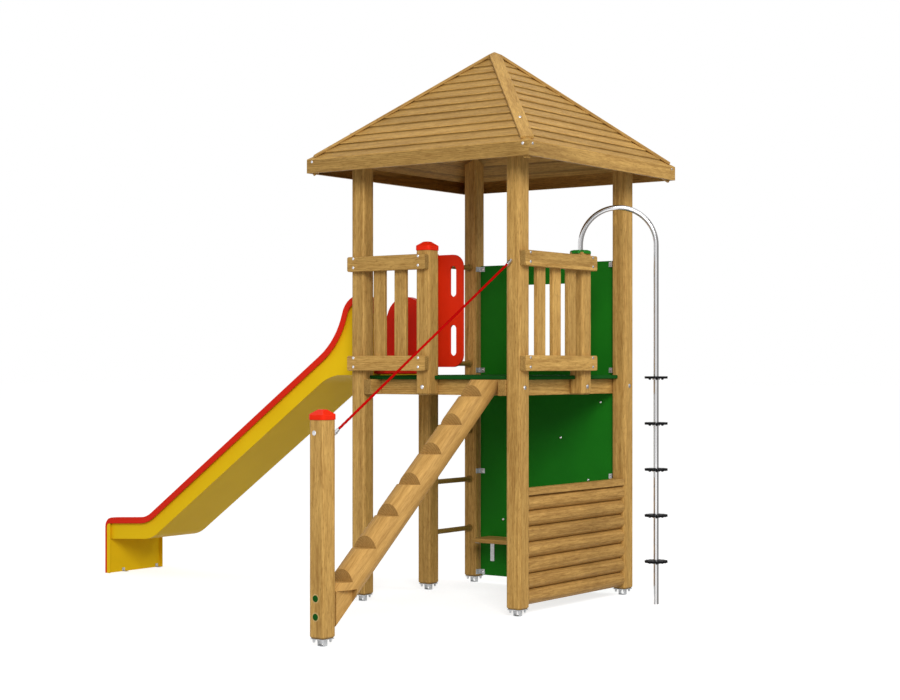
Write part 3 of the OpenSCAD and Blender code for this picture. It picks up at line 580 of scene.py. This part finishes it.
# Slide: a red inner shell with rolled lips, moulded as one with its front apron, and a
# yellow outer shell under it, on two small steel angles.
slide_red = moulded("slide_red", (0.820, 0.025, 0.007, 1.0), (0.770, 0.021, 0.006, 1.0),
                    roughness=0.38, pebbles=400.0, bump=0.05, gloss=0.08)
slide_yellow = moulded("slide_yellow", (0.940, 0.610, 0.009, 1.0), (0.900, 0.575, 0.008, 1.0),
                       roughness=0.45, pebbles=400.0, bump=0.05, gloss=0.05)
eased("slide_liner", slide_red, "slide_red", 0.005, 3, 40.0)
eased("slide_shell", slide_yellow, "slide_yellow", 0.003, 3, 40.0)
eased("slide_feet", zinc, "zinc_steel", 0.001)

# Climbing wall: a green sheet between the back posts, held by folded brackets, with
# moulded holds bolted on outside. The domed nuts of six of the eight bolts show inside.
green_sheet = moulded("green_sheet", (0.011, 0.195, 0.009, 1.0), (0.009, 0.165, 0.008, 1.0),
                      roughness=0.5, pebbles=900.0, bump=0.25, gloss=0.08)
eased("climbing_wall", green_sheet, "green_plastic", 0.003)
eased("wall_brackets", zinc, "zinc_steel", 0.001)
HOLD_NUTS = ((-0.363, 0.463), (0.354, 0.771), (0.127, 1.058), (0.455, 1.309), (-0.180, 0.760),
             (0.060, 0.470))
HOLDS = HOLD_NUTS + ((-0.420, 1.010), (-0.090, 1.340))
HOLD_HALF_SIZE = (0.045, 0.0335, 0.060)
HOLD_LOBES = 3.0
WALL_FACE = 0.6346
holds = bmesh.new()
for number, (x, z) in enumerate(HOLDS):
    hold = bmesh.ops.create_icosphere(holds, subdivisions=4, radius=1.0)["verts"]
    for v in hold:
        round_it = HOLD_LOBES * math.atan2(v.co.z, v.co.x) + 1.1 * number
        waist = 0.92 + 0.07 * math.cos(round_it) * (1.0 - v.co.y ** 2)
        dish = 0.22 * math.exp(-14.0 * (v.co.x ** 2 + (v.co.z - 0.05) ** 2))
        ledge = 1.0 + 0.22 * max(v.co.z, 0.0) - dish
        v.co = (HOLD_HALF_SIZE[0] * v.co.x * waist, HOLD_HALF_SIZE[1] * v.co.y * ledge,
                HOLD_HALF_SIZE[2] * v.co.z * waist)
    bmesh.ops.translate(holds, verts=hold, vec=tower + Vector((x, WALL_FACE, z)))
flat_back = bmesh.ops.bisect_plane(
    holds, geom=holds.verts[:] + holds.edges[:] + holds.faces[:],
    plane_co=tower + Vector((0.0, WALL_FACE, 0.0)), plane_no=(0.0, -1.0, 0.0), clear_outer=True)
bmesh.ops.holes_fill(holds, edges=[e for e in flat_back["geom_cut"]
                                   if isinstance(e, bmesh.types.BMEdge)])
ease(holds, 0.002, 2, 60.0)
new_piece("climbing_holds_moulded", holds, red_plastic, "red_plastic", "climbing_holds")

DISH_FLOOR = 0.0255
INNER_FACE = 0.6155
BRACKET_FACE = 0.6115
BRACKET_BOLT = 0.5405
BRACKET_HEIGHTS = (0.080, 0.803, 1.526, 2.249)
heads("hold_bolts", bright_zinc, "zinc_steel",
      [((x, WALL_FACE + DISH_FLOOR, z), (0, 1, 0)) for x, z in HOLDS],
      radius=0.011, height=0.006, flat=0.5)
heads("hold_nuts", bright_zinc, "zinc_steel",
      [((x, INNER_FACE, z), (0, -1, 0)) for x, z in HOLD_NUTS], radius=0.010, height=0.007)
heads("bracket_bolts", bright_zinc, "zinc_steel",
      [((s * BRACKET_BOLT, BRACKET_FACE, z), (0, -1, 0))
       for s in (-1, 1) for z in BRACKET_HEIGHTS],
      radius=0.009, height=0.005)

# Bench: a planed softwood plank under the platform, screwed to steel brackets that
# hang on the climbing wall.
bench_wood = wood("bench_wood", along=(1.0, 0.0, 0.0))
eased("bench_seat", bench_wood, "board_wood", 0.006, 3)
eased("bench_brackets", zinc, "zinc_steel", 0.001)

# Half-log wall: seven half-round softwood logs under a square board, screwed from
# behind to two upright battens on the posts.
HALF_LOG_FOOT = 0.062
HALF_LOG_PITCH = 0.098
half_log_wood = wood("half_log_wood", along=(0.0, 1.0, 0.0),
                     boards=((0.0, 0.0, 1.0), HALF_LOG_FOOT, HALF_LOG_PITCH),
                     light=(0.640, 0.375, 0.108, 1.0), dark=(0.280, 0.138, 0.032, 1.0))
eased("half_logs", half_log_wood, "log_wood", 0.0006, 1)
eased("half_log_cap", half_log_wood, "board_wood", 0.004)
eased("half_log_battens", post_wood, "board_wood", 0.003)

# Rungs and guard bars: turned hardwood, darker than the posts, with a turned ring where
# each one enters the back post.
rung_wood = wood("rung_wood", along=(0.0, 1.0, 0.0), light=(0.430, 0.265, 0.062, 1.0),
                 dark=(0.200, 0.115, 0.024, 1.0))
eased("ladder_rungs", rung_wood, "rung_wood", 0.002)
eased("guard_bars", rung_wood, "rung_wood", 0.002)
BACK_POST_FACE = 0.5705
RUNG_HEIGHTS = (0.394, 0.744, 1.094)
GUARD_BAR_HEIGHTS = (1.573, 2.261)
RING_PROFILE = ((0.0172, 0.0), (0.0245, 0.0), (0.0255, 0.004), (0.0255, 0.012),
                (0.0225, 0.018), (0.0172, 0.020))
rings_bm = bmesh.new()
for height in RUNG_HEIGHTS + GUARD_BAR_HEIGHTS:
    add_turned(rings_bm, RING_PROFILE,
               aimed(tower + Vector((-POST, BACK_POST_FACE, height)), (0.0, -1.0, 0.0)),
               steps=28, closed=True)
close_up(rings_bm)
new_piece("bar_rings", rings_bm, rung_wood, "rung_wood")

# Grab panel: a red sheet with two hand slots, sawn from plastic board and screwed to
# the side of the slide's post.
# Its red is set brighter than the caps' red: painted light that makes up for the shade the panel
# stands in under the roof.
panel_red_painted_light = moulded("panel_red_painted_light", (0.980, 0.040, 0.008, 1.0), (0.930, 0.034, 0.007, 1.0),
                    roughness=0.45, pebbles=700.0, bump=0.12, gloss=0.1)
eased("grab_panel", panel_red_painted_light, "red_plastic", 0.006, 3)

# Pole: a ground stainless tube bent over from the newel's top to the ground. Black moulded
# foot discs are bolted to steel hubs on it, and a lobed green collar sits on the newel.
steel, steel_tree, steel_shader = new_finish("ground_steel", Metallic=1.0, Roughness=0.12)
steel_lines = add_node(steel_tree, "Mapping", {"Vector": object_place(steel_tree),
                                               "Scale": (400.0, 400.0, 20.0)})
steel_colour = ramp(steel_tree, noise(steel_tree, steel_lines, 1.0),
                    [(0.3, (0.66, 0.66, 0.67, 1.0)), (0.7, (0.80, 0.80, 0.81, 1.0))])
steel_tree.links.new(steel_colour, steel_shader.inputs["Base Color"])
eased("pole_tube", steel, "stainless_steel", 0.0004)

black_plastic = moulded("black_plastic", (0.010, 0.010, 0.011, 1.0), (0.007, 0.007, 0.008, 1.0),
                        roughness=0.5, pebbles=700.0, bump=0.2, gloss=0.1)
DISC_COUNT = 5
DISC_PITCH = 0.300
DISC_UNDER = 0.273
HUB_FOOT = 0.265
HUB_HEIGHT = 0.007
discs = merged_copy("pole_discs")
for face in discs.faces:
    if (face.calc_center_median().z - HUB_FOOT) % DISC_PITCH < HUB_HEIGHT:
        face.material_index = 1
ease(discs, 0.004, 3)
new_piece("pole_discs_finished", discs, [black_plastic, steel], "black_plastic", "pole_discs")
DISC_BOLT_OUT = 0.041
disc_bolt_places = [(POLE[0] + DISC_BOLT_OUT * math.cos(math.radians(turn)),
                     POLE[1] + DISC_BOLT_OUT * math.sin(math.radians(turn)),
                     DISC_UNDER + number * DISC_PITCH)
                    for number in range(DISC_COUNT) for turn in (35, 125, 215, 305)]
heads("disc_bolts", black_plastic, "black_plastic",
      [(place, (0, 0, -1)) for place in disc_bolt_places],
      radius=0.009, height=0.008, flat=0.5, steps=12)

COLLAR_FOOT = 2.289
COLLAR_LOBES = 10.0
COLLAR_LUMP = 0.003
# Each ring of the collar: its radius, the depth of its lobes and its height.
COLLAR_RINGS = ((0.0660, 0.0034, 0.0), (0.0660, 0.0034, 0.013), (0.0615, 0.0034, 0.0185),
                (0.052, 0.002, 0.0215), (0.026, 0.0, 0.026), (0.0172, 0.0, 0.026),
                (0.0172, 0.0, 0.0))
collar = bmesh.new()
bmesh.ops.create_circle(collar, segments=96, radius=1.0)
loop = collar.edges[:]
first_loop = loop
for number, (radius, lobe, height) in enumerate(COLLAR_RINGS):
    if number:
        drawn_up = set(bmesh.ops.extrude_edge_only(collar, edges=loop)["geom"])
        loop = [e for e in drawn_up
                if isinstance(e, bmesh.types.BMEdge) and drawn_up.issuperset(e.verts)]
    lump = COLLAR_LUMP if lobe and radius < 0.065 else 0.0
    for v in {v for e in loop for v in e.verts}:
        turn = math.atan2(v.co.y, v.co.x)
        wave = math.cos(COLLAR_LOBES * turn)
        far = radius + lobe * wave
        v.co = (far * math.cos(turn), far * math.sin(turn), height + lump * wave)
bmesh.ops.bridge_loops(collar, edges=loop + first_loop)
bmesh.ops.recalc_face_normals(collar, faces=collar.faces)
bmesh.ops.translate(collar, verts=collar.verts,
                    vec=tower + Vector((POST, POLE_NEWEL, COLLAR_FOOT)))
collar_green = moulded("collar_green", (0.012, 0.230, 0.012, 1.0), (0.009, 0.180, 0.009, 1.0),
                       roughness=0.4, pebbles=500.0, bump=0.15, gloss=0.15)
new_piece("pole_collar_lobed", collar, collar_green, "green_plastic", "pole_collar")

# Stepped log: one turned round log that leans on the platform's edge, with level steps
# sawn into its upper side. It is bolted to a short post at its foot; two of those bolts
# are sunk in seats of bare wood under green caps.
LEAN = math.radians(39.8)
LOG_HEART = tower + Vector((LOG_POST[0], -0.8055, 1.320))
log_wood = wood("log_wood", along=(0.0, math.cos(LEAN), math.sin(LEAN)), heart=LOG_HEART,
                light=(0.680, 0.395, 0.118, 1.0), dark=(0.400, 0.208, 0.052, 1.0),
                sawn_from=0.69, sawn_to=0.75, specks=0.2)
eased("stepped_log", log_wood, "log_wood", 0.005, 3)
LOG_POST_FACE = -2.2528
heads("log_post_bolts", bright_zinc, "zinc_steel",
      [((0.385, LOG_POST_FACE, 1.184), (0, -1, 0))], radius=0.014, height=0.004)
sunk_bolts = [((0.395, LOG_POST_FACE, z), (0, -1, 0)) for z in (0.167, 0.269)]
seat_wood = wood("seat_wood", light=(0.700, 0.480, 0.200, 1.0), dark=(0.480, 0.300, 0.110, 1.0))
heads("log_bolt_seats", seat_wood, "post_wood", sunk_bolts, radius=0.0265, height=0.0012,
      flat=0.8)
heads("log_bolt_caps", floor_green, "green_plastic", sunk_bolts, radius=0.0205, height=0.0042,
      flat=0.3)

# Rope: three red strands laid round a steel core, drawn taut between a steel stud on
# the log's post and another on the corner post, with a pressed sleeve at each end.
rope_low = tower + Vector((0.428, -2.1438, 1.173))
rope_high = tower + Vector((0.614, -0.6795, 2.209))
rope_line = (rope_high - rope_low).normalized()
LOW_FITTING = 0.0523
HIGH_FITTING = 0.0353
ROPE_RADIUS = 0.0079
ROPE_LAY = 0.11
STRAND_SHARES = (0.78, 0.90, 0.98, 1.0, 0.98, 0.90)
rope_long = (rope_high - rope_low).length - LOW_FITTING - HIGH_FITTING
rope_bm = bmesh.new()
bmesh.ops.create_circle(rope_bm, segments=3 * len(STRAND_SHARES), radius=ROPE_RADIUS)
rope_bm.verts.ensure_lookup_table()
for number, v in enumerate(rope_bm.verts):
    v.co *= STRAND_SHARES[number % len(STRAND_SHARES)]
rope_steps = 320
bmesh.ops.spin(rope_bm, geom=rope_bm.verts[:] + rope_bm.edges[:], cent=(0.0, 0.0, 0.0),
               axis=(0.0, 0.0, 1.0), dvec=(0.0, 0.0, rope_long / rope_steps),
               angle=math.tau * rope_long / ROPE_LAY, steps=rope_steps)
bmesh.ops.holes_fill(rope_bm, edges=rope_bm.edges)
bmesh.ops.recalc_face_normals(rope_bm, faces=rope_bm.faces)
bmesh.ops.transform(rope_bm, matrix=aimed(rope_low + rope_line * LOW_FITTING, rope_line),
                    verts=rope_bm.verts)
rope_red = moulded("rope_red", (0.500, 0.002, 0.002, 1.0), (0.400, 0.001, 0.001, 1.0),
                   roughness=0.75, pebbles=900.0, bump=0.5, gloss=0.02)
new_piece("rope_laid", rope_bm, rope_red, "red_rope", "rope")
eased("rope_fittings", bright_zinc, "stainless_steel", 0.001)

SLEEVE_PROFILE = ((0.0, 0.008), (0.0125, 0.008), (0.0135, 0.010), (0.0135, 0.026),
                  (0.0105, 0.030), (0.0105, 0.046), (0.0090, 0.048), (0.0, 0.048))
swages = bmesh.new()
for end, inward in ((rope_low, rope_line), (rope_high, -rope_line)):
    add_turned(swages, SLEEVE_PROFILE, aimed(end, inward), steps=24)
close_up(swages)
new_piece("rope_swages", swages, bright_zinc, "stainless_steel")
